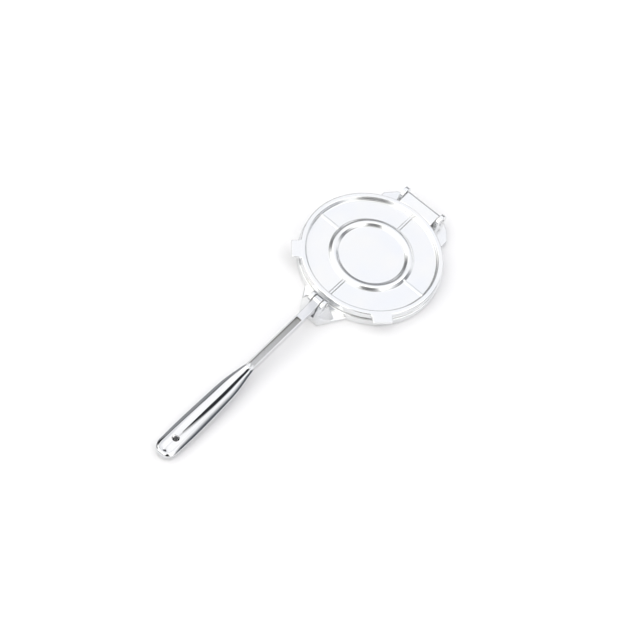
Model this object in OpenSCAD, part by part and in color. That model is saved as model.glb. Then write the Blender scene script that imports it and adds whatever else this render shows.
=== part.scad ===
// Hand-lever tortilla press, cast aluminium, shown closed with its lever laid out to the front.
// Origin: centre of the lower plate on the surface it stands on. +Z up, lever towards -Y, hinge +Y.

/* [Plates] */
// Outer diameter of the upper plate
plate_d = 200; // [190:1:210]
// How far the lower plate stands out beyond the upper one, all round
ledge_w = 2; // [1:0.5:3]
// Width of the raised rim of both plates
rim_w = 7.5; // [6:0.5:10]
// Thickness of the flat web of both plates
web_t = 5; // [4:0.5:6]
// Height of the lower plate, from the table to its pressing face
base_h = 13; // [12:0.5:14]
// Height of the upper plate's rim above its pressing face
top_h = 11.5; // [10.5:0.5:12]
// Gap between the pressing faces of the closed plates
press_gap = 0.5; // [0.3:0.1:0.8]
// Outer diameter of the stiffening ring at its foot
ring_d = 120; // [110:1:126]
// Width of the stiffening ring at its foot
ring_w = 14; // [12:0.5:16]
// Height of the upper plate's ring above its web
ring_h = 4; // [3:0.5:6]
// Width of the four radial ribs
rib_w = 3.2; // [2.5:0.1:5]

/* [Lifting tabs] */
// Distance from the plate centre to a tab's outer face
tab_reach = 112; // [108:1:116]
// Width of a tab
tab_w = 28; // [20:1:34]
// Thickness of a tab
tab_t = 4.5; // [3:0.5:6]
// Angle of each tab from the lever's line
tab_angle = 47; // [40:1:55]

/* [Hinge] */
// Distance from the plate centre to the hinge pin
hinge_y = 114; // [113:0.5:116]
// Height of the hinge pin above the table
hinge_z = 19.5; // [19:0.5:20.5]
// Radius of the upper plate's hinge barrel
barrel_r = 7; // [6.5:0.25:7.5]
// Length of the hinge barrel
barrel_l = 57; // [50:1:60]
// Thickness of each hinge ear of the lower plate
hinge_ear_t = 6.5; // [5:0.5:8]
// Radius of the rounded top of a hinge ear
hinge_ear_r = 11.25; // [11:0.25:11.5]

/* [Lever bracket] */
// Distance from the plate centre to the lever pin
pivot_y = 118; // [117:0.5:119]
// Height of the lever pin above the table
pivot_z = 29.5; // [29:0.5:30]
// Thickness of each bracket ear
ear_t = 6; // [5:0.5:7]
// Radius of the rounded top of a bracket ear
ear_r = 10; // [9.5:0.25:10.5]
// Height of the floor of the slot between the ears
slot_z = 11; // [8:0.5:14]

/* [Lever] */
// Distance from the lever pin to the end of the grip
lever_l = 302; // [290:1:315]
// Width of the lever's shank
shank_w = 12; // [11:0.5:14]
// Depth of the lever's shank
shank_h = 11; // [10.5:0.5:11.5]
// Radius of the lever's eye
eye_r = 9; // [8.5:0.25:9.5]
// Largest width of the grip
grip_w = 31.5; // [28:0.5:34]
// Depth of the grip
grip_h = 15; // [13:0.5:16]
// Diameter of the hanging hole
hang_d = 6; // [5:0.5:9]

/* [Pins] */
// Diameter of both pins
pin_d = 8; // [7:0.5:9]
// Radial running clearance of the moving bores on the pins
pin_clear = 0.08; // [0.04:0.01:0.1]

/* [Hidden] */
$fn = 96;

eps = 0.01;
plate_r = plate_d / 2;
base_r = plate_r + ledge_w;
ring_r = ring_d / 2;
top_z = base_h + press_gap;
rim_top_z = top_z + top_h;
side_gap = 0.8;
cone = 1.2;
chamfer = 0.8;
ring_slope = 4.2;
foot_gap = 1;
rib_drop = 1.8;
casting = "gainsboro";
steel = "silver";

// Hinge ears and the flange they stand on
ear_in = barrel_l / 2 + side_gap;
ear_out = ear_in + hinge_ear_t;
flange_z = 8;
flange_half = 58;
flange_front = 84;
flange_corner = 103;

// Lever bracket
slot_half = shank_w / 2 + side_gap;
bracket_half = slot_half + ear_t;
bracket_front = pivot_y + 14;
bracket_back = pivot_y - ear_r;
foot_z = 6;
foot_front_half = 15.5;
foot_back_half = 37;
foot_back = 95;

// Pin ends sit in shallow round recesses in the outer faces of the ears
recess_d = pin_d + 3;
recess_t = 1.2;
pin_dome = 0.6;

// Lever: the pocket along the shank, the grip and its trough
pocket_start = 38;
pocket_wall = 1.8;
pocket_depth = 5;
grip_start = 137;
grip_half = grip_w / 2;
hang_y = lever_l - 29;
trough_depth = 4.5;
rest_gap = 0.3;
grip_flat_end = lever_l - 17;
droop = asin((pivot_z - grip_h / 2 - rest_gap) / grip_flat_end);

// Half profile of a plate: pressing face at 0, rim and ring standing up from the web.
module plate_profile(r, rim_h, ring_top) {
    rim_in = r - rim_w;
    ring_in = ring_r - ring_w;
    polygon([
        [0, 0], [r - chamfer / 2, 0], [r, chamfer / 2], [r, rim_h - chamfer],
        [r - chamfer, rim_h], [rim_in + chamfer, rim_h], [rim_in, rim_h - chamfer],
        [rim_in - cone, web_t],
        [ring_r, web_t], [ring_r - ring_slope, ring_top], [ring_in + ring_slope, ring_top],
        [ring_in, web_t], [0, web_t]
    ]);
}

// One rib from the ring to the rim, with sloping sides.
module rib(r, h) {
    inner = ring_r - ring_slope / 2;
    length = r - rim_w + 1 - inner;
    translate([inner, 0, web_t - eps])
        rotate([90, 0, 90])
            linear_extrude(length)
                polygon([[-rib_w / 2 - cone / 2, 0], [rib_w / 2 + cone / 2, 0],
                         [rib_w / 2, h], [-rib_w / 2, h]]);
}

// Round plate with rim, ring and four ribs, pressing face down.
module ribbed_plate(r, rim_h, ring_top) {
    rotate_extrude($fn = 180) plate_profile(r, rim_h, ring_top);
    for (a = [0 : 90 : 270]) rotate(a) rib(r, ring_top - web_t - rib_drop);
}

// Rectangle with round corners, centred, as plain squares and circles.
module round_rect(w, l, r) {
    square([w - 2 * r, l], center = true);
    square([w, l - 2 * r], center = true);
    for (x = [-1, 1], y = [-1, 1]) translate([x * (w / 2 - r), y * (l / 2 - r)]) circle(r);
}

// Cylinder along X, centred on x = 0.
module x_bar(r, l) {
    rotate([0, 90, 0]) cylinder(r = r, h = l, center = true);
}

// Extrudes a drawing of (y, z) points along X, centred on x = 0.
module x_extrude(l) {
    rotate([90, 0, 90]) linear_extrude(l, center = true) children();
}

// Through bore for a pin, with a round recess at both outer faces.
module pin_bore(y, z, width) {
    translate([0, y, z]) {
        x_bar(pin_d / 2, width + 2);
        for (side = [-1, 1]) translate([side * width / 2, 0, 0]) x_bar(recess_d / 2, 2 * recess_t);
    }
}

// Side view of one hinge ear: round top on a foot that runs into the lower plate.
module hinge_ear_side() {
    translate([hinge_y, hinge_z]) circle(hinge_ear_r);
    polygon([[92, flange_z / 2], [92, base_h - 2], [base_r - 1, base_h - 0.5],
             [hinge_y - hinge_ear_r, hinge_z], [hinge_y + hinge_ear_r, hinge_z],
             [hinge_y + hinge_ear_r, flange_z / 2]]);
}

// Flange behind the lower plate that carries the hinge ears.
module hinge_flange() {
    linear_extrude(flange_z)
        polygon([[-flange_half, flange_front], [-flange_half, flange_corner], [-46, 118],
                 [-ear_out, hinge_y + hinge_ear_r], [ear_out, hinge_y + hinge_ear_r], [46, 118],
                 [flange_half, flange_corner], [flange_half, flange_front]]);
}

// Plan view of the lever bracket: narrow at the front, wide where it meets the plate.
module bracket_plan() {
    polygon([[-foot_front_half, -bracket_front], [foot_front_half, -bracket_front],
             [foot_back_half, -foot_back], [foot_back_half - 6, -foot_back + 10],
             [6 - foot_back_half, -foot_back + 10], [-foot_back_half, -foot_back]]);
}

// Front view of the lever bracket: sloping buttresses that end in two upright ears.
module bracket_front_view() {
    polygon([[-26, 0], [26, 0], [25, foot_z], [bracket_half, 22],
             [bracket_half, pivot_z + ear_r + 1], [-bracket_half, pivot_z + ear_r + 1],
             [-bracket_half, 22], [-25, foot_z]]);
}

// Side view of the lever bracket: round top about the lever pin.
module bracket_side_view() {
    translate([-pivot_y, pivot_z]) circle(ear_r);
    polygon([[-bracket_front, 0], [-bracket_front, 12], [-pivot_y - ear_r, pivot_z],
             [-bracket_back, pivot_z], [-bracket_back, 0]]);
}

// Buttressed ears, before the slot is cut.
module bracket_ears() {
    intersection() {
        linear_extrude(pivot_z + ear_r + 1) bracket_plan();
        rotate([90, 0, 0]) linear_extrude(bracket_front + 1) bracket_front_view();
        x_extrude(2 * foot_back_half) bracket_side_view();
    }
}

// Lower plate: pressing face up, rim and ribs below, lever bracket and hinge ears cast on.
module lower_plate() {
    color(casting)
    difference() {
        union() {
            translate([0, 0, base_h]) mirror([0, 0, 1])
                ribbed_plate(base_r, base_h, base_h - foot_gap);
            difference() {
                union() {
                    linear_extrude(foot_z) bracket_plan();
                    bracket_ears();
                    hinge_flange();
                    for (side = [-1, 1])
                        translate([side * (ear_in + ear_out) / 2, 0, 0])
                            x_extrude(hinge_ear_t) hinge_ear_side();
                }
                translate([0, 0, -1]) cylinder(r = base_r - rim_w / 2, h = base_h + 1);
            }
        }
        translate([-slot_half, -bracket_front - 1, slot_z])
            cube([2 * slot_half, bracket_front - base_r - 1, pivot_z + ear_r]);
        translate([0, 0, base_h]) cylinder(r = plate_r + 3, h = top_h + 20);
        pin_bore(-pivot_y, pivot_z, 2 * bracket_half);
        pin_bore(hinge_y, hinge_z, 2 * ear_out);
    }
}

// Side view of the hinge lug: a web from the rim that ends in the barrel.
module lug_side() {
    translate([hinge_y, hinge_z]) circle(barrel_r);
    polygon([[plate_r - rim_w, top_z], [plate_r - rim_w, rim_top_z - 1], [plate_r - 1, rim_top_z],
             [hinge_y, hinge_z + barrel_r - 0.2], [hinge_y, hinge_z - barrel_r + 0.2],
             [hinge_y - 4, top_z]]);
}

// Lifting tab on the rim of the upper plate.
module tab() {
    inner = plate_r - rim_w + 1;
    translate([(inner + tab_reach) / 2, 0, rim_top_z - tab_t])
        linear_extrude(tab_t) round_rect(tab_reach - inner, tab_w, 3);
}

// Upper plate: pressing face down, rim, ring and ribs above, hinge lug and two lifting tabs.
module upper_plate() {
    color(casting)
    difference() {
        union() {
            translate([0, 0, top_z]) ribbed_plate(plate_r, top_h, web_t + ring_h);
            x_extrude(barrel_l) lug_side();
            for (side = [-1, 1]) rotate(-90 + side * tab_angle) tab();
        }
        translate([0, hinge_y, hinge_z]) x_bar(pin_d / 2 + pin_clear, barrel_l + 2);
    }
}

// Flattened ball at a distance y from the lever pin.
module ball(y, half_w, half_l, half_h) {
    translate([0, -y, 0]) scale([half_w, half_l, half_h]) sphere(1, $fn = 28);
}

// Solid of the grip, narrow at the shank and broad at the end.
module grip_body() {
    half_h = grip_h / 2;
    hull() {
        ball(grip_start + 7, 7.5, 7, half_h - 1);
        ball(grip_start + 38, grip_half * 0.82, 12, half_h);
        ball(grip_start + 110, grip_half, 16, half_h);
        ball(lever_l - 17, grip_half * 0.95, 17, half_h);
    }
}

// Trough in the grip's upper face.
module grip_trough() {
    translate([0, 0, grip_h / 2])
    hull() {
        ball(grip_start + 14, 4, 8, trough_depth - 1.5);
        ball(grip_start + 100, 9.5, 12, trough_depth);
        ball(lever_l - 22, 10, 12, trough_depth);
    }
}

// Lever lying along -Y from its pin at the origin, before it is set down on the table.
module lever_straight() {
    difference() {
        union() {
            x_bar(eye_r, shank_w);
            translate([-shank_w / 2, -grip_start - 12, -shank_h / 2])
                cube([shank_w, grip_start + 12, shank_h]);
            grip_body();
        }
        translate([-shank_w / 2 + pocket_wall, -grip_start, shank_h / 2 - pocket_depth])
            cube([shank_w - 2 * pocket_wall, grip_start - pocket_start, pocket_depth + 4]);
        grip_trough();
        x_bar(pin_d / 2 + pin_clear, shank_w + 2);
        translate([0, -hang_y, 0]) cylinder(d = hang_d, h = grip_h + 2, center = true);
    }
}

// Lever with its grip resting just clear of the table.
module lever() {
    color(casting)
    translate([0, -pivot_y, pivot_z]) rotate([droop, 0, 0]) lever_straight();
}

// Plain pin along X with low domed ends.
module pin(l) {
    rotate([0, 90, 0])
        rotate_extrude()
            polygon([[0, -l / 2], [pin_d / 4, -l / 2], [pin_d / 2, -l / 2 + pin_dome],
                     [pin_d / 2, l / 2 - pin_dome], [pin_d / 4, l / 2], [0, l / 2]]);
}

module hinge_pin() {
    color(steel) translate([0, hinge_y, hinge_z]) pin(2 * ear_out);
}

module lever_pin() {
    color(steel) translate([0, -pivot_y, pivot_z]) pin(2 * bracket_half);
}

lower_plate();
upper_plate();
lever();
hinge_pin();
lever_pin();
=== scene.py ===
"""Tortilla press in cast and polished aluminium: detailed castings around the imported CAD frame."""
import math

import bmesh
import bpy
import numpy as np
from mathutils import Matrix, Vector


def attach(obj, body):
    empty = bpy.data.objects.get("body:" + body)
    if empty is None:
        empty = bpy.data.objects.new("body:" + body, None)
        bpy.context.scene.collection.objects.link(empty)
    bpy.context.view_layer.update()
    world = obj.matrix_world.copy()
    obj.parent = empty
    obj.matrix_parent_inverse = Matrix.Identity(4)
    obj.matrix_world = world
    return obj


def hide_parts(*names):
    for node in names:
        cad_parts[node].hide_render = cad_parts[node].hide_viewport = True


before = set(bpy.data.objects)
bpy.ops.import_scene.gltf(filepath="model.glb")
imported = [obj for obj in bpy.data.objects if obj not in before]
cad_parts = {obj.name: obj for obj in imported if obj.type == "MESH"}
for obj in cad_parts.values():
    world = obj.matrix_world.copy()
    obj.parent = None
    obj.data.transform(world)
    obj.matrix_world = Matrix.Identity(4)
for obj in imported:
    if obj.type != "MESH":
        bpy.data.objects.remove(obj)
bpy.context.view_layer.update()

# Sizes in millimetres, as in the CAD model. Meshes are made in millimetres and scaled at the end.
MM = 0.001

# Plates: a flat pressing face on one side; rim, ring and four ribs on the web's other side.
PLATE_R, BASE_R = 100.0, 102.0
RIM_W, RIM_TAPER, WEB_T = 7.5, 1.2, 5.0
BASE_H, PRESS_GAP, TOP_H = 13.0, 0.5, 11.5
TOP_Z = BASE_H + PRESS_GAP
RIM_TOP_Z = TOP_Z + TOP_H
RING_R, RING_W = 60.0, 14.0
RING_TOP, BASE_RING_TOP = WEB_T + 4.0, BASE_H - 1.0
# The ring's section: inset of its foot at the web and at the step, the step as a part of its
# height, the inset of its crest, and how far the crest's edges drop and its middle rises.
RING_FOOT, RING_KNEE, RING_STEP, RING_SLOPE = 0.4, 1.0, 0.30, 4.2
CREST_DROP, CREST_RISE = 0.55, 0.35
RIB_HALF, RIB_SLOPE, RIB_DROP, RIB_FILLET = 1.3, 1.0, 2.6, 0.8

TAB_REACH, TAB_W, TAB_T, TAB_ANGLE, TAB_CORNER_R = 112.0, 28.0, 4.5, 47.0, 3.0
SIDE_GAP = 0.8
HINGE_Y, HINGE_Z = 114.0, 19.5
BARREL_R, BARREL_L = 7.0, 57.0
HINGE_EAR_R, HINGE_EAR_T = 11.25, 6.5
EAR_IN = BARREL_L / 2 + SIDE_GAP
EAR_OUT = EAR_IN + HINGE_EAR_T
FLANGE_Z, FLANGE_HALF = 8.0, 58.0

PIVOT_Y, PIVOT_Z = -118.0, 29.5
EAR_R = 10.0
SHANK_HALF = 6.0
SLOT_HALF, SLOT_Z = SHANK_HALF + SIDE_GAP, 11.0
BRACKET_HALF = SLOT_HALF + 6.0
BRACKET_FRONT = PIVOT_Y - 14.0
FOOT_Z = 6.0

LEVER_L = 302.0
SHANK_H = 11.0
EYE_R = 9.0
GRIP_ROOT, GRIP_START, GRIP_TAIL = 131.0, 137.0, 286.0
GRIP_HALF_H = 7.5
# The underside rises by this part of its height for each millimetre past LIFT_START.
LIFT, LIFT_START = 0.0135, 284
POCKET_START, POCKET_WALL, POCKET_DEPTH, POCKET_CORNER_R = 38.0, 1.8, 5.0, 1.6
# How much weaker the pocket's raw metal and its painted shade are where it meets the grip than near
# the eye.
POCKET_SHADE_FADE = 0.45
HANG_Y, HANG_R = LEVER_L - 29.0, 3.0
REST_GAP = 0.3
DROOP = math.asin((PIVOT_Z - GRIP_HALF_H - REST_GAP) / (LEVER_L - 17.0))

PIN_R, PIN_CLEAR = 4.0, 0.08
RECESS_R, RECESS_T, RECESS_FLARE, RECESS_TAPER = 5.5, 1.2, 0.5, 0.3

# Edge radii of the castings, and how far cutters reach past what they cut.
EASE_LUG, EASE_TAB, EASE_BRACKET, EASE_FOOT = 0.9, 1.1, 1.3, 1.4
EASE_FLANGE, EASE_EAR, EASE_SHANK, EASE_POCKET = 1.5, 1.2, 1.1, 1.0
OVERRUN = 2

# Mesh making: distances in millimetres, angles in degrees.
DOUBLED, WELD = 1e-3, 2e-4
FLAT_ANGLE, EASE_ANGLE, SHARP_ANGLE = 0.6, 28, 38
NORMAL_WEIGHT = 60
PLATE_STEP = 7.0
RIB_ZONE, RIB_STEPS, BETWEEN_STEPS = 2.7, 36, 57
BAR_STEPS = 64


# ---------------------------------------------------------------- mesh helpers

def rounded(points, radii, steps):
    """The open path through points, with each inner corner turned into an arc of its radius."""
    pts = [np.array(p, float) for p in points]
    path = [pts[0]]
    for before, corner, after, radius in zip(pts, pts[1:], pts[2:], radii[1:]):
        a, b = before - corner, after - corner
        la, lb = np.linalg.norm(a), np.linalg.norm(b)
        a, b = a / la, b / lb
        half = math.acos(np.clip(a @ b, -1, 1)) / 2
        if radius <= 0 or half > math.radians(89):
            path.append(corner)
            continue
        reach = min(radius / math.tan(half), 0.49 * la, 0.49 * lb)
        radius = reach * math.tan(half)
        centre = corner + (a + b) / np.linalg.norm(a + b) * radius / math.sin(half)
        start, end = corner + a * reach - centre, corner + b * reach - centre
        turn = math.atan2(start[0] * end[1] - start[1] * end[0], start @ end)
        for i in range(steps + 1):
            c, s = math.cos(turn * i / steps), math.sin(turn * i / steps)
            spoke = np.array([c * start[0] - s * start[1], s * start[0] + c * start[1]])
            path.append(centre + spoke)
    path.append(pts[-1])
    return path


def split_long(path, longest):
    """The same path with points added where two neighbours are further apart than longest."""
    out = [path[0]]
    for a, b in zip(path, path[1:]):
        n = max(1, math.ceil(np.linalg.norm(b - a) / longest))
        out += [a + (b - a) * i / n for i in range(1, n + 1)]
    return out


def arc(centre, radius, start, end, steps):
    """Points of an arc between two angles in degrees, both ends included."""
    angles = np.radians(np.linspace(start, end, steps + 1))
    return [(centre[0] + radius * math.cos(a), centre[1] + radius * math.sin(a)) for a in angles]


def both_sides(half):
    """A closed drawing that is symmetric about its second axis, from the half on one side."""
    return half + [(-a, b) for a, b in reversed(half)]


def smooth_table(table, x):
    """Values between the rows of a table of (position, value), along a curve with no kinks."""
    px, py = np.array(table, float).T
    slope = np.gradient(py, px)
    step = np.diff(py) / np.diff(px)
    slope[1:-1] = np.where(step[:-1] * step[1:] <= 0, 0, slope[1:-1])
    i = np.clip(np.searchsorted(px, x) - 1, 0, len(px) - 2)
    h = px[i + 1] - px[i]
    t = np.clip((x - px[i]) / h, 0, 1)
    return (py[i] * (2 * t**3 - 3 * t**2 + 1) + h * slope[i] * (t**3 - 2 * t**2 + t)
            + py[i + 1] * (3 * t**2 - 2 * t**3) + h * slope[i + 1] * (t**3 - t**2))


def soft_max(a, b, width):
    """The larger of two values, with a fillet of about that width where they cross."""
    h = np.clip(0.5 + 0.5 * (a - b) / width, 0, 1)
    return b + (a - b) * h + width * h * (1 - h)


def make(name, verts, faces):
    """An object with that mesh, its faces turned outwards."""
    mesh = bpy.data.meshes.new(name)
    mesh.from_pydata([tuple(v) for v in verts], [], faces)
    bm = bmesh.new()
    bm.from_mesh(mesh)
    bmesh.ops.recalc_face_normals(bm, faces=bm.faces)
    bm.to_mesh(mesh)
    bm.free()
    obj = bpy.data.objects.new(name, mesh)
    bpy.context.scene.collection.objects.link(obj)
    return obj


def between_rings(n, m):
    """Faces between m rings of n points each."""
    return [[k * n + i, k * n + (i + 1) % n, (k + 1) * n + (i + 1) % n, (k + 1) * n + i]
            for k in range(m - 1) for i in range(n)]


def end_fan(tip, first, n):
    """Faces between the point tip and the ring of n points that starts at first."""
    return [[tip, first + i, first + (i + 1) % n] for i in range(n)]


def closed_rings(n, m):
    """Faces of a solid from m rings of n points, followed by the middle points of both ends."""
    near = [[tip, b, a] for tip, a, b in end_fan(m * n, 0, n)]
    return between_rings(n, m) + near + end_fan(m * n + 1, (m - 1) * n, n)


def prism(points, low, high, axis):
    """Closed prism: axis x extrudes a (y, z) drawing, y an (x, z) one and z an (x, y) one."""
    order = {"x": (2, 0, 1), "y": (0, 2, 1), "z": (0, 1, 2)}[axis]
    verts = [[(p[0], p[1], h)[k] for k in order] for h in (low, high) for p in points]
    n = len(points)
    return make("prism", verts, [list(range(n)), list(range(n, 2 * n))] + between_rings(n, 2))


def turned(profile, steps=64):
    """Solid of revolution about Z from (radius, height) points that start and end on the axis."""
    low, *rows, high = profile
    angles = np.linspace(0, 2 * math.pi, steps, endpoint=False)
    verts = [(r * math.cos(a), r * math.sin(a), h) for r, h in rows for a in angles]
    verts += [(0, 0, low[1]), (0, 0, high[1])]
    return make("turned", verts, closed_rings(steps, len(rows)))


def placed(obj, matrix):
    """obj with its mesh moved by matrix."""
    obj.data.transform(matrix)
    return obj


def applied(obj):
    """obj with its modifiers applied."""
    graph = bpy.context.evaluated_depsgraph_get()
    mesh = bpy.data.meshes.new_from_object(obj.evaluated_get(graph))
    obj.modifiers.clear()
    obj.data = mesh
    return obj


def combine(base, others, how):
    """base joined with, cut by or limited to the other solids, which are used up."""
    for other in others:
        mod = base.modifiers.new("combine", "BOOLEAN")
        mod.operation, mod.solver, mod.object = how, "MANIFOLD", other
        applied(base)
        bpy.data.objects.remove(other)
    return base


def eased(obj, width, segments=4):
    """obj with doubled points and flat neighbours merged and its sharp edges rounded."""
    bm = bmesh.new()
    bm.from_mesh(obj.data)
    bmesh.ops.remove_doubles(bm, verts=bm.verts, dist=DOUBLED)
    bmesh.ops.dissolve_limit(bm, angle_limit=math.radians(FLAT_ANGLE), verts=bm.verts,
                             edges=bm.edges)
    bm.to_mesh(obj.data)
    bm.free()
    mod = obj.modifiers.new("ease", "BEVEL")
    mod.width, mod.segments = width, segments
    mod.limit_method, mod.angle_limit = "ANGLE", math.radians(EASE_ANGLE)
    mod.use_clamp_overlap = True
    return applied(obj)


def x_bar(radius, length, y, z):
    """Cylinder along X about a point."""
    circle = arc((0, 0), radius, 0, 360 - 360 / BAR_STEPS, BAR_STEPS - 1)
    return placed(prism(circle, -length / 2, length / 2, "x"), Matrix.Translation((0, y, z)))


def x_turned(profile, y, z, steps=64):
    """Solid of revolution about an axis along X through a point."""
    lay = Matrix.Rotation(math.pi / 2, 4, "Y")
    return placed(turned(profile, steps), Matrix.Translation((0, y, z)) @ lay)


def pin_hole(width, y, z):
    """Cutter for a pin's bore with a round recess at both outer faces."""
    face, mouth = -width / 2, RECESS_R + RECESS_FLARE
    profile = [(0, face - OVERRUN), (mouth, face - OVERRUN), (mouth, face),
               (RECESS_R, face + RECESS_FLARE), (RECESS_R - RECESS_TAPER, face + RECESS_T),
               (PIN_R, face + RECESS_T)]
    return x_turned(profile + [(r, -h) for r, h in reversed(profile)], y, z)


def finished(obj, name, body, material, nodes):
    """The final piece: scaled to metres, smooth shaded, with its material, body and slot."""
    bm = bmesh.new()
    bm.from_mesh(obj.data)
    bmesh.ops.remove_doubles(bm, verts=bm.verts, dist=WELD)
    bmesh.ops.dissolve_degenerate(bm, edges=bm.edges, dist=WELD)
    bmesh.ops.triangulate(bm, faces=[f for f in bm.faces if len(f.verts) > 4])
    bad = sum(1 for e in bm.edges if not e.is_manifold)
    print(f"{name}: {len(bm.verts)} points, {len(bm.faces)} faces, {bad} open edges, "
          f"{bm.calc_volume(signed=True) / 1000:.1f} cm3")
    bm.to_mesh(obj.data)
    bm.free()
    obj.name = obj.data.name = name
    obj.data.transform(Matrix.Scale(MM, 4))
    obj.data.shade_smooth()
    obj.data.set_sharp_from_angle(angle=math.radians(SHARP_ANGLE))
    normals = obj.modifiers.new("face_weighted_normals", "WEIGHTED_NORMAL")
    normals.keep_sharp, normals.weight = True, NORMAL_WEIGHT
    obj.data.materials.clear()
    obj.data.materials.append(material)
    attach(obj, body)
    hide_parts(*nodes)


# ---------------------------------------------------------------- materials

def node_tree(name):
    """A new material with its nodes, its links and its shader."""
    material = bpy.data.materials.new(name)
    material.use_nodes = True
    nodes, links = material.node_tree.nodes, material.node_tree.links
    return material, nodes, links, nodes["Principled BSDF"]


def add(nodes, kind, **values):
    """A node of that kind with its properties and inputs set."""
    node = nodes.new(kind)
    for key, value in values.items():
        if hasattr(node, key) and key not in node.inputs:
            setattr(node, key, value)
        else:
            node.inputs[key.replace("_", " ")].default_value = value
    return node


def scaled(nodes, links, value, low, high):
    """A socket with a 0 to 1 value spread over low to high."""
    node = nodes.new("ShaderNodeMapRange")
    node.inputs["To Min"].default_value = low
    node.inputs["To Max"].default_value = high
    links.new(value, node.inputs["Value"])
    return node.outputs["Result"]


def band(nodes, links, value, low, high):
    """A smooth step from 0 at low to 1 at high."""
    node = nodes.new("ShaderNodeMapRange")
    node.interpolation_type = "SMOOTHSTEP"
    node.inputs["From Min"].default_value = low
    node.inputs["From Max"].default_value = high
    links.new(value, node.inputs["Value"])
    return node.outputs["Result"]


def math_node(nodes, links, operation, *values):
    """The result of a Math node on sockets."""
    node = nodes.new("ShaderNodeMath")
    node.operation = operation
    for socket, value in zip(node.inputs, values):
        links.new(value, socket)
    return node.outputs["Value"]


def mixed(nodes, links, factor, a, b):
    """A colour mixed from a to b, either of them a colour or a socket."""
    mix = add(nodes, "ShaderNodeMix", data_type="RGBA")
    links.new(factor, mix.inputs["Factor"])
    for name, colour in (("A", a), ("B", b)):
        if isinstance(colour, tuple):
            mix.inputs[name].default_value = (*colour, 1)
        else:
            links.new(colour, mix.inputs[name])
    return mix.outputs["Result"]


def noise(nodes, links, place, scale, detail, stretch=None):
    """A noise texture's value in the object's own coordinates, drawn out along Y by stretch."""
    texture = add(nodes, "ShaderNodeTexNoise", Scale=scale, Detail=detail, Roughness=0.55)
    if stretch:
        shape = add(nodes, "ShaderNodeMapping")
        shape.inputs["Scale"].default_value = (1, 1 / stretch, 1)
        links.new(place, shape.inputs["Vector"])
        place = shape.outputs["Vector"]
    links.new(place, texture.inputs["Vector"])
    return texture.outputs["Fac"]


def relief(nodes, links, height, strength, distance):
    """A Bump node on a height."""
    node = add(nodes, "ShaderNodeBump", Strength=strength, Distance=distance)
    links.new(height, node.inputs["Height"])
    return node


# Scales of the patterns per metre, and distances in metres.
CLOUD_SCALE, GRAIN_SCALE, BUFF_SCALE, LATHE_SCALE = 22.0, 900.0, 50.0, 300.0
CLOUD_CONTRAST, GRAIN_GLOSS = (-0.6, 1.6), 0.03
LATHE_FADE = 0.0003
# Painted shade in corners: how far the ambient occlusion looks, and the part of the base colour left
# where it is deepest.
CORNER_SHADE_REACH, CORNER_SHADE_TINT = 0.003, 0.88
# Raw metal in the pocket: the two greys of its speckle, dark enough to paint the pocket's shade, and
# how much rougher it is.
RAW_SHADE_DARK, RAW_SHADE_LIGHT, RAW_ROUGHER = (0.28, 0.28, 0.275), (0.42, 0.42, 0.415), 0.3


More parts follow.
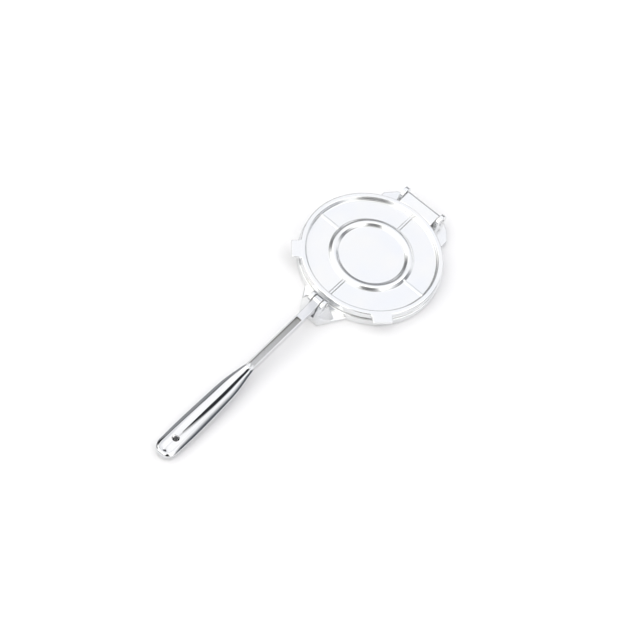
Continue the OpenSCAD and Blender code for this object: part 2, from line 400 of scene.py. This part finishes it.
def metal(name, base, cool, rough, grain, metallic=1.0, streaks=None, polish=0.0, lathe=None):
    """Aluminium or steel with a cloudy tint and gloss, fine grain and painted shade in its corners.

    base and cool are its two tints, rough the range of its roughness, grain the strength and
    depth of its grain. streaks (scale, length, amount) are fine lines in the gloss along Y,
    polish is the depth of buffed waves, and lathe (lowest, highest, depth) cuts turned rings
    between two heights. Points marked in the pocket show rougher raw metal, in a dark speckle
    that paints the pocket's shade.
    """
    material, nodes, links, shader = node_tree(name)
    place = nodes.new("ShaderNodeTexCoord").outputs["Object"]
    cloud = noise(nodes, links, place, CLOUD_SCALE, 3.0)
    fine = noise(nodes, links, place, GRAIN_SCALE, 4.0)
    # painted shade: ambient occlusion finds the corners and recesses that are darkened below
    corner = add(nodes, "ShaderNodeAmbientOcclusion", samples=4,
                 Distance=CORNER_SHADE_REACH).outputs["AO"]
    raw_and_shade = add(nodes, "ShaderNodeAttribute", attribute_name="raw_metal_and_shade").outputs["Fac"]

    colour = mixed(nodes, links, scaled(nodes, links, cloud, *CLOUD_CONTRAST), base, cool)
    # painted shade: the base colour darkened in corners by the ambient occlusion
    corner_shade = tuple(c * CORNER_SHADE_TINT for c in base)
    colour = mixed(nodes, links, scaled(nodes, links, corner, 0.0, 1.0), corner_shade, colour)
    # the pocket's raw-metal speckle, its dark greys painted shade
    shaded_speckle = mixed(nodes, links, fine, RAW_SHADE_DARK, RAW_SHADE_LIGHT)
    links.new(mixed(nodes, links, raw_and_shade, colour, shaded_speckle), shader.inputs["Base Color"])

    gloss = math_node(nodes, links, "ADD", scaled(nodes, links, cloud, *rough),
                      scaled(nodes, links, fine, -GRAIN_GLOSS, GRAIN_GLOSS))
    if streaks:
        scale, length, amount = streaks
        lines = noise(nodes, links, place, scale, 2.0, length)
        lines = scaled(nodes, links, lines, -amount, amount)
        gloss = math_node(nodes, links, "ADD", gloss, lines)
    rougher = scaled(nodes, links, raw_and_shade, 0.0, RAW_ROUGHER)
    links.new(math_node(nodes, links, "ADD", gloss, rougher), shader.inputs["Roughness"])

    bump = relief(nodes, links, fine, *grain)
    if polish:
        buffed = relief(nodes, links, noise(nodes, links, place, BUFF_SCALE, 1.0), 1.0, polish)
        links.new(buffed.outputs["Normal"], bump.inputs["Normal"])
    if lathe:
        low, high, depth = lathe
        split = nodes.new("ShaderNodeSeparateXYZ")
        links.new(place, split.inputs["Vector"])
        level = split.outputs["Z"]
        marks = add(nodes, "ShaderNodeTexWave", wave_type="RINGS", rings_direction="Z",
                    Scale=LATHE_SCALE, Distortion=1.5, Detail=2.0)
        links.new(place, marks.inputs["Vector"])
        height = math_node(nodes, links, "MULTIPLY", marks.outputs["Fac"],
                           band(nodes, links, level, low - LATHE_FADE, low))
        height = math_node(nodes, links, "MULTIPLY", height,
                           band(nodes, links, level, high + LATHE_FADE, high))
        cut = relief(nodes, links, height, 1.0, depth)
        links.new(cut.outputs["Normal"], bump.inputs["Normal"])
    links.new(bump.outputs["Normal"], shader.inputs["Normal"])
    shader.inputs["Metallic"].default_value = metallic
    return material


# The turned rings lie on the two pressing faces, which meet between these heights in metres.
FACES_LOW, FACES_HIGH = 0.0127, 0.0138
CAST = metal("cast_aluminium_satin", base=(0.86, 0.86, 0.85), cool=(0.82, 0.835, 0.86),
             rough=(0.14, 0.24), grain=(0.12, 0.00003), metallic=0.86,
             lathe=(FACES_LOW, FACES_HIGH, 0.000006))
POLISHED = metal("polished_aluminium", base=(0.76, 0.76, 0.76), cool=(0.73, 0.74, 0.76),
                 rough=(0.04, 0.08), grain=(0.06, 0.00002), streaks=(500.0, 60.0, 0.025),
                 polish=0.00005)
STEEL = metal("pin_steel", base=(0.55, 0.55, 0.56), cool=(0.50, 0.50, 0.52),
              rough=(0.22, 0.36), grain=(0.3, 0.00004))


# ---------------------------------------------------------------- plates

def ribbed_plate(name, radius, rim_h, ring_top):
    """Round plate: pressing face at 0, with rim, ring and four ribs standing on the web."""
    rim_in, ring_in, rib_top = radius - RIM_W, RING_R - RING_W, ring_top - RIB_DROP
    crest_out, crest_in = RING_R - RING_SLOPE, ring_in + RING_SLOPE
    step, edge = WEB_T + (ring_top - WEB_T) * RING_STEP, ring_top - CREST_DROP
    # corners of the section, each with the radius that rounds it
    corners, radii = zip(
        ((0.0, 0), 0), ((radius, 0), 0.9), ((radius, rim_h), 2.0), ((rim_in, rim_h), 2.0),
        ((rim_in - RIM_TAPER, WEB_T), 2.2), ((RING_R - RING_FOOT, WEB_T), 1.3),
        ((RING_R - RING_KNEE, step), 1.2), ((crest_out, edge), 2.0),
        (((crest_out + crest_in) / 2, ring_top + CREST_RISE), 6.0), ((crest_in, edge), 2.0),
        ((ring_in + RING_KNEE, step), 1.2), ((ring_in + RING_FOOT, WEB_T), 1.3),
        ((0.0, WEB_T), 0))
    rows = np.array(split_long(rounded(corners, radii, 6), PLATE_STEP)[1:-1])
    angles = []
    for quarter in range(4):
        at_rib = np.linspace(-RIB_ZONE, RIB_ZONE, RIB_STEPS + 1)[:-1]
        between = np.linspace(RIB_ZONE, 90 - RIB_ZONE, BETWEEN_STEPS + 1)[:-1]
        angles += list(at_rib + 90 * quarter) + list(between + 90 * quarter)
    angles = np.radians(angles)
    r, h = rows[:, :1], rows[:, 1:]
    x, y = r * np.cos(angles), r * np.sin(angles)
    z = np.repeat(h, len(angles), axis=1)
    across = np.abs(r * np.sin((angles + math.pi / 4) % (math.pi / 2) - math.pi / 4))
    rib = WEB_T + (rib_top - WEB_T) * (1 - np.clip((across - RIB_HALF) / RIB_SLOPE, 0, 1))
    # ribs rise from the web between the ring's crest and the rim's inner wall
    on_web = (h > WEB_T - 0.01) & (r > RING_R - RING_SLOPE / 2) & (r < rim_in + 2)
    z = np.where(on_web & (rib > WEB_T), soft_max(z, rib, RIB_FILLET), z)
    verts = np.stack([x, y, z], -1).reshape(-1, 3).tolist() + [[0, 0, 0], [0, 0, WEB_T]]
    return make(name, verts, closed_rings(len(angles), len(rows)))


def hinge_lug():
    """Web from the rim that ends in the hinge barrel, just clear of the pressing face's plane."""
    inner, under = PLATE_R - 5, TOP_Z + 0.3
    side = [(inner, under), (inner, RIM_TOP_Z - 2.2), (PLATE_R - 1, RIM_TOP_Z - 0.2)]
    side += arc((HINGE_Y, HINGE_Z), BARREL_R, 94, -90, 40)
    side += [(HINGE_Y - 5, under)]
    return eased(prism(side, -BARREL_L / 2, BARREL_L / 2, "x"), EASE_LUG, 3)


def lifting_tab(side):
    """Tab on the rim beside the lever, towards +X for side 1 and -X for side -1."""
    half, r = TAB_W / 2, TAB_CORNER_R
    # half of its plan, from inside the rim outwards, as (half width, reach)
    plan = [(half + 2, PLATE_R - RIM_W + 2), (half + 1.4, PLATE_R - 1), (half, PLATE_R + 1.5)]
    plan += arc((half - r, TAB_REACH - r), r, 0, 90, 8)
    plan = [(reach, -wide) for wide, reach in both_sides(plan)]
    tab = eased(prism(plan, RIM_TOP_Z - TAB_T, RIM_TOP_Z - 0.12, "z"), EASE_TAB)
    return placed(tab, Matrix.Rotation(math.radians(-90 + side * TAB_ANGLE), 4, "Z"))


def upper_plate():
    """The lid: ribbed plate with the hinge lug, its bore and two lifting tabs."""
    plate = ribbed_plate("upper_plate", PLATE_R, TOP_H, RING_TOP)
    placed(plate, Matrix.Translation((0, 0, TOP_Z)))
    combine(plate, [hinge_lug(), lifting_tab(-1), lifting_tab(1)], "UNION")
    bore = x_bar(PIN_R + PIN_CLEAR, BARREL_L + OVERRUN, HINGE_Y, HINGE_Z)
    combine(plate, [bore], "DIFFERENCE")
    finished(plate, "upper_plate_casting", "lid", CAST, ["upper_plate"])


def lever_bracket():
    """Buttressed ears for the lever's pin, on a foot that flares towards the plate."""
    front, back, top = BRACKET_FRONT, PIVOT_Y + EAR_R, PIVOT_Z + EAR_R + OVERRUN
    # seen from above, along the lever and from the side
    plan = both_sides([(15.5, front), (37, -95), (31, -85)])
    buttress = both_sides([(26, 0), (25, FOOT_Z), (19.6, 13), (BRACKET_HALF, 22.5),
                           (BRACKET_HALF, top)])
    side = [(front, 0), (front, 12.5)] + arc((PIVOT_Y, PIVOT_Z), EAR_R, 178, 0, 40) + [(back, 0)]
    ears = prism(plan, 0, top, "z")
    limits = [prism(buttress, front - OVERRUN, back + OVERRUN, "y"), prism(side, -40, 40, "x")]
    combine(ears, limits, "INTERSECT")
    slot = prism(both_sides([(SLOT_HALF, SLOT_Z), (SLOT_HALF, top + 4)]),
                 front - 4, -BASE_R - 1, "y")
    combine(ears, [slot], "DIFFERENCE")
    eased(ears, EASE_BRACKET)
    return combine(ears, [eased(prism(plan, 0, FOOT_Z, "z"), EASE_FOOT)], "UNION")


def hinge_mount():
    """Flange behind the plate with the two hinge ears."""
    end = HINGE_Y + HINGE_EAR_R
    plan = both_sides([(-FLANGE_HALF, 84), (-FLANGE_HALF, 103), (-46, 118), (-EAR_OUT, end)])
    flange = eased(prism(plan, 0, FLANGE_Z, "z"), EASE_FLANGE)
    side = [(92, 2), (92, BASE_H - 2), (BASE_R - 1, BASE_H - 1)]
    side += arc((HINGE_Y, HINGE_Z), HINGE_EAR_R, 180, 0, 40) + [(end, 2)]
    for x in (-EAR_OUT, EAR_IN):
        combine(flange, [eased(prism(side, x, x + HINGE_EAR_T, "x"), EASE_EAR)], "UNION")
    return flange


def lower_plate():
    """The base: ribbed plate, face up, with the lever bracket, the hinge ears and both bores."""
    plate = ribbed_plate("lower_plate", BASE_R, BASE_H, BASE_RING_TOP)
    placed(plate, Matrix.Translation((0, 0, BASE_H)) @ Matrix.Rotation(math.pi, 4, "X"))
    mounts = combine(lever_bracket(), [hinge_mount()], "UNION")
    # room inside the plate, and above it for the upper plate
    reach, clear = BASE_R - RIM_W / 2, PLATE_R + 3
    inside = turned([(0, -1), (reach, -1), (reach, BASE_H), (0, BASE_H)], 128)
    above = turned([(0, BASE_H), (clear, BASE_H), (clear, 60), (0, 60)], 256)
    combine(mounts, [inside, above], "DIFFERENCE")
    combine(plate, [mounts], "UNION")
    bores = [pin_hole(2 * BRACKET_HALF, PIVOT_Y, PIVOT_Z), pin_hole(2 * EAR_OUT, HINGE_Y, HINGE_Z)]
    combine(plate, bores, "DIFFERENCE")
    finished(plate, "lower_plate_casting", "base", CAST, ["lower_plate"])


# ---------------------------------------------------------------- lever

# Rows of (distance from the pin, size). Half width and half height are in millimetres. The
# ridges' crests lie at a part of the half width, the trough between them has a depth in
# millimetres, and the shoulders fall by a part of their width.
GRIP_WIDTH = [(131, 5.6), (135, 6.6), (139, 7.5), (148, 9.0), (158, 10.9), (172, 13.0),
              (192, 14.3), (212, 15.0), (232, 15.5), (250, 15.75), (266, 15.6), (284, 15.0)]
GRIP_HEIGHT = [(131, 5.3), (138, 6.4), (150, 7.2), (170, 7.5), (290, 7.5)]
RIDGE_WIDTH = [(131, 0.58), (145, 0.58), (165, 0.57), (200, 0.54), (250, 0.58), (284, 0.64),
               (302, 0.66)]
TROUGH_DEPTH = [(131, 0.5), (136, 1.2), (143, 1.95), (155, 2.4), (165, 2.75), (175, 3.0),
                (200, 3.15), (225, 2.9), (245, 2.65), (262, 2.4), (271, 2.2), (282, 2.1),
                (293, 2.2), (297, 0.3), (302, 0.0)]
SHOULDER_FALL = [(131, 0.66), (180, 0.67), (240, 0.68), (275, 0.68), (288, 0.60), (302, 0.50)]
# The crest's height as a part of the half height, the flat underside and the radii of its edge
# and of the side's top as parts of the half width, and the power of the trough's curve.
CREST, UNDER_W, UNDER_R, SIDE_R, TROUGH_POWER = 0.94, 0.93, 0.34, 0.30, 1.4
# How much of the shoulder's fall is a straight slope; the rest bends down further out.
SHOULDER_SLOPE = 0.85
# Stations along the grip: where the close ones of the neck end and those of the grip start.
NECK_END, GRIP_NEXT = 150, 152


def grip_section(w, h, under, ridge, depth, fall):
    """Half outline across the grip, from the middle of its underside to that of its trough."""
    crest, top = CREST * h, ridge * w
    fall *= w - top
    outer = []
    for u in (1, 0.62, 0.5, 0.4, 0.3, 0.2, 0.1, 0):
        part = SHOULDER_SLOPE * u + (1 - SHOULDER_SLOPE) * u * u
        outer.append((top + (w - top) * u, crest - fall * part))
    corners = [(0, -under), (UNDER_W * w, -under), (w, outer[0][1]), outer[1]]
    path = rounded(corners, [0, UNDER_R * w, SIDE_R * w, 0], 9)
    inner = [(top * u, crest - depth * (1 - u) ** TROUGH_POWER)
             for u in np.linspace(1, 0, 14)[1:]]
    return path + outer[2:] + inner


def grip():
    """Lofted grip: two rounded ridges with a trough between them, and a rounded, dished end."""
    to_end = LEVER_L - GRIP_TAIL
    y = np.concatenate([np.linspace(GRIP_ROOT, NECK_END, 20),
                        np.linspace(GRIP_NEXT, GRIP_TAIL, 60),
                        GRIP_TAIL + to_end * np.sin(np.radians(np.linspace(5, 88.5, 28)))])
    past = np.clip(y - GRIP_TAIL, 0, None) / to_end
    narrow, low = (1 - past ** 2) ** 0.5, (1 - past ** 8) ** 0.5
    rise = 1 - LIFT * np.clip(y - LIFT_START, 0, None)
    tables = [smooth_table(table, y) for table in
              (GRIP_WIDTH, GRIP_HEIGHT, RIDGE_WIDTH, TROUGH_DEPTH, SHOULDER_FALL)]
    verts = []
    for yy, in_w, in_h, up, w, h, ridge, depth, fall in zip(y, narrow, low, rise, *tables):
        half = grip_section(w * in_w, h * in_h, h * in_h * up, ridge, depth, fall)
        ring = half + [(-px, pz) for px, pz in reversed(half[1:-1])]
        verts += [(px, -yy, pz) for px, pz in ring]
    n, m = len(ring), len(y)
    verts.append((0, -LEVER_L, 0.2))
    faces = between_rings(n, m) + [list(range(n))] + end_fan(m * n, (m - 1) * n, n)
    return make("grip", verts, faces)


def shank():
    """Eye, solid pressing block and channel-section shank."""
    half = SHANK_H / 2
    # the bar ends inside the grip, sooner at the top, where it would fill the trough
    side = [(-GRIP_START - 8, -half), (-20, -half), (-12, -half - 0.8)]
    side += arc((0, 0), EYE_R, -126, 126, 48)
    side += [(-12, half + 0.8), (-20, half), (-GRIP_START - 1.5, half)]
    bar = eased(prism(side, -SHANK_HALF, SHANK_HALF, "x"), EASE_SHANK)
    r = POCKET_CORNER_R
    x, near, far = SHANK_HALF - POCKET_WALL - r, -POCKET_START - r, -GRIP_START + 2 + r
    plan = []
    for cx, cy, start in ((x, near, 0), (-x, near, 90), (-x, far, 180), (x, far, 270)):
        plan += arc((cx, cy), r, start, start + 90, 6)
    pocket = eased(prism(plan, half - POCKET_DEPTH, half + 4, "z"), EASE_POCKET)
    return combine(bar, [pocket], "DIFFERENCE")


def raw_metal_and_shade(body):
    """Marks the points inside the shank's pocket for raw metal and painted shade, both weaker
    towards the grip.
    """
    inside, top = SHANK_HALF - POCKET_WALL + 0.1, SHANK_H / 2 - 0.7
    marks = body.data.attributes.new("raw_metal_and_shade", "FLOAT", "POINT")
    for mark, point in zip(marks.data, body.data.vertices):
        x, y, z = point.co
        if abs(x) < inside and 0.0 < z < top and -GRIP_START < y < -POCKET_START + 0.5:
            mark.value = 1.0 - POCKET_SHADE_FADE * (-POCKET_START - y) / (GRIP_START - POCKET_START)


def lever():
    """The handle: shank and grip with the pin's bore and the hanging hole."""
    body = combine(shank(), [grip()], "UNION")
    # the hanging hole's section: countersunk and eased below, and opened into the trough above
    under = -GRIP_HALF_H
    hole = [(0, -20), (9, -20), (HANG_R + 3.0, under), (HANG_R + 1.0, under + 1.2),
            (HANG_R, under + 3), (HANG_R, 3.0), (HANG_R + 0.4, 4.0), (HANG_R + 1.6, 5.2),
            (HANG_R + 2.2, 6.4), (HANG_R + 2.4, 20), (0, 20)]
    cutters = [placed(turned(hole), Matrix.Translation((0, -HANG_Y, 0))),
               x_bar(PIN_R + PIN_CLEAR, 2 * SHANK_HALF + OVERRUN, 0, 0)]
    combine(body, cutters, "DIFFERENCE")
    raw_metal_and_shade(body)
    placed(body, Matrix.Translation((0, PIVOT_Y, PIVOT_Z)) @ Matrix.Rotation(DROOP, 4, "X"))
    finished(body, "lever_casting", "handle", POLISHED, ["lever"])


def pin(name, length, y, z, node):
    """Turned pin with peened, domed ends that sit in the recesses."""
    # the dome: radius, and how far below the end's middle
    dome = [(0, 0.0), (1.2, 0.03), (2.2, 0.14), (3.0, 0.36), (3.6, 0.7), (3.9, 1.0), (PIN_R, 1.4)]
    end = [(r, length / 2 - drop) for r, drop in dome]
    obj = x_turned([(r, -h) for r, h in end] + end[::-1], y, z, 96)
    finished(obj, name, "base", STEEL, [node])


lower_plate()
upper_plate()
lever()
pin("hinge_pin_turned", 2 * EAR_OUT, HINGE_Y, HINGE_Z, "hinge_pin")
pin("lever_pin_turned", 2 * BRACKET_HALF, PIVOT_Y, PIVOT_Z, "lever_pin")


# ---------------------------------------------------------------- floor, light and camera

FLOOR_R = 8000.0
# Colours of the sky: in front, behind, just above the floor, below it, and as the camera sees it.
SKY_FRONT, SKY_BACK, SKY_LOW = (1.95, 1.93, 1.87), (1.10, 1.105, 1.14), (0.30, 0.32, 0.36)
SKY_GROUND, SKY_SEEN = (0.9, 0.9, 0.92), (0.95, 0.95, 0.96)
# Where they blend: along Y from front to back, and in height at the low sky and the horizon.
FRONT_TO_BACK, LOW_TO_HIGH, HORIZON = (-0.4, 0.55), (0.08, 0.20), (-0.01, 0.0)
# Dark and cool parts of the sky: colour, azimuth from -Y towards +X, half width and soft edge in
# degrees, then the sines of the lowest and highest elevation.
SKY_PATCHES = [((0.30, 0.31, 0.33), 318, 50, 30, -1.0, 0.34),
               ((0.03, 0.03, 0.033), 46, 24, 14, 0.26, 0.93),
               ((0.34, 0.35, 0.37), 240, 32, 24, -1.0, 0.30),
               ((0.035, 0.035, 0.04), 240, 32, 24, 0.22, 0.60),
               ((0.12, 0.13, 0.15), 118, 24, 20, -1.0, 0.60),
               ((0.10, 0.105, 0.12), 190, 18, 24, -1.0, 0.46),
               ((0.92, 0.93, 0.97), 218, 60, 40, 0.93, 1.20)]
SOFT_BELOW, SOFT_ABOVE = 0.06, 0.08

KEY_SIZE, KEY_POWER, KEY_COLOUR, KEY_PLACE = 0.9, 2.0, (1.0, 0.985, 0.96), (0.9, 0.7, 1.5)

# The camera: angles in degrees, distances in metres, lens and sensor in millimetres.
VIEW_AZIMUTH, VIEW_ELEVATION, VIEW_ROLL = 25, 58, 18.0
VIEW_DISTANCE, VIEW_HEIGHT, VIEW_RIGHT, VIEW_UP = 2.0, 0.02, 0.0709, 0.0903
VIEW_LENS, VIEW_SENSOR = 82.0, 36.0


def floor():
    """The pale surface the press lies on."""
    material, nodes, links, shader = node_tree("floor_pale")
    shader.inputs["Base Color"].default_value = (0.92, 0.92, 0.935, 1)
    shader.inputs["Roughness"].default_value = 0.9
    shader.inputs["Specular IOR Level"].default_value = 0.2
    edge = arc((0, 0), FLOOR_R, 0, 355, 71)
    ground = make("floor", [(x, y, 0) for x, y in edge], [list(range(len(edge)))])
    placed(ground, Matrix.Scale(MM, 4))
    ground.data.materials.append(material)


def patch(nodes, links, place, height, azimuth, half_width, soft, low, high):
    """1 inside a soft-edged part of the sky, 0 outside."""
    turn = math.radians(azimuth)
    toward = add(nodes, "ShaderNodeVectorMath", operation="DOT_PRODUCT")
    toward.inputs[1].default_value = (math.sin(turn), -math.cos(turn), 0)
    links.new(place, toward.inputs[0])
    flat = add(nodes, "ShaderNodeVectorMath", operation="MULTIPLY")
    flat.inputs[1].default_value = (1, 1, 0)
    links.new(place, flat.inputs[0])
    length = add(nodes, "ShaderNodeVectorMath", operation="LENGTH")
    links.new(flat.outputs["Vector"], length.inputs[0])
    near = math_node(nodes, links, "DIVIDE", toward.outputs["Value"], length.outputs["Value"])
    inner, outer = (math.cos(math.radians(half_width + k * soft / 2)) for k in (-1, 1))
    across = band(nodes, links, near, outer, inner)
    up = math_node(nodes, links, "MULTIPLY",
                   band(nodes, links, height, low - SOFT_BELOW, low + SOFT_BELOW),
                   band(nodes, links, height, high + SOFT_ABOVE, high - SOFT_ABOVE))
    return math_node(nodes, links, "MULTIPLY", across, up)


def studio():
    """A bright tent, warm in front and cool behind, with the dark gaps polished metal shows."""
    world = bpy.data.worlds.new("studio")
    bpy.context.scene.world = world
    world.use_nodes = True
    nodes, links = world.node_tree.nodes, world.node_tree.links
    background = nodes["Background"]
    place = nodes.new("ShaderNodeTexCoord").outputs["Generated"]
    split = nodes.new("ShaderNodeSeparateXYZ")
    links.new(place, split.inputs["Vector"])
    depth, height = split.outputs["Y"], split.outputs["Z"]
    sky = mixed(nodes, links, band(nodes, links, depth, *FRONT_TO_BACK), SKY_FRONT, SKY_BACK)
    sky = mixed(nodes, links, band(nodes, links, height, *LOW_TO_HIGH), SKY_LOW, sky)
    for colour, *where in SKY_PATCHES:
        sky = mixed(nodes, links, patch(nodes, links, place, height, *where), sky, colour)
    sky = mixed(nodes, links, band(nodes, links, height, *HORIZON), SKY_GROUND, sky)
    seen = nodes.new("ShaderNodeLightPath").outputs["Is Camera Ray"]
    links.new(mixed(nodes, links, seen, sky, SKY_SEEN), background.inputs["Color"])

    key = bpy.data.lights.new("key", "AREA")
    key.shape, key.size, key.energy, key.color = "DISK", KEY_SIZE, KEY_POWER, KEY_COLOUR
    lamp = bpy.data.objects.new("key", key)
    lamp.location = KEY_PLACE
    lamp.rotation_mode = "QUATERNION"
    lamp.rotation_quaternion = (-Vector(KEY_PLACE)).to_track_quat("-Z", "Y")
    lamp.visible_camera = False
    bpy.context.scene.collection.objects.link(lamp)


def camera():
    """The photograph's view: from the right of the lever and well above, the camera leaning."""
    azimuth, elevation = math.radians(VIEW_AZIMUTH), math.radians(VIEW_ELEVATION)
    back = Vector((math.sin(azimuth) * math.cos(elevation),
                   -math.cos(azimuth) * math.cos(elevation), math.sin(elevation)))
    lean = Matrix.Rotation(math.radians(VIEW_ROLL), 4, back)
    turn = lean @ back.to_track_quat("Z", "Y").to_matrix().to_4x4()
    right, up = turn.col[0].xyz, turn.col[1].xyz
    aim = Vector((0.0, 0.0, VIEW_HEIGHT)) - (right * VIEW_RIGHT + up * VIEW_UP)
    data = bpy.data.cameras.new("camera")
    data.lens, data.sensor_width = VIEW_LENS, VIEW_SENSOR
    data.clip_start, data.clip_end = 0.05, 50.0
    cam = bpy.data.objects.new("camera", data)
    cam.matrix_world = Matrix.Translation(aim + back * VIEW_DISTANCE) @ turn
    bpy.context.scene.collection.objects.link(cam)
    bpy.context.scene.camera = cam


floor()
studio()
camera()
bpy.context.scene.view_settings.view_transform = "Standard"
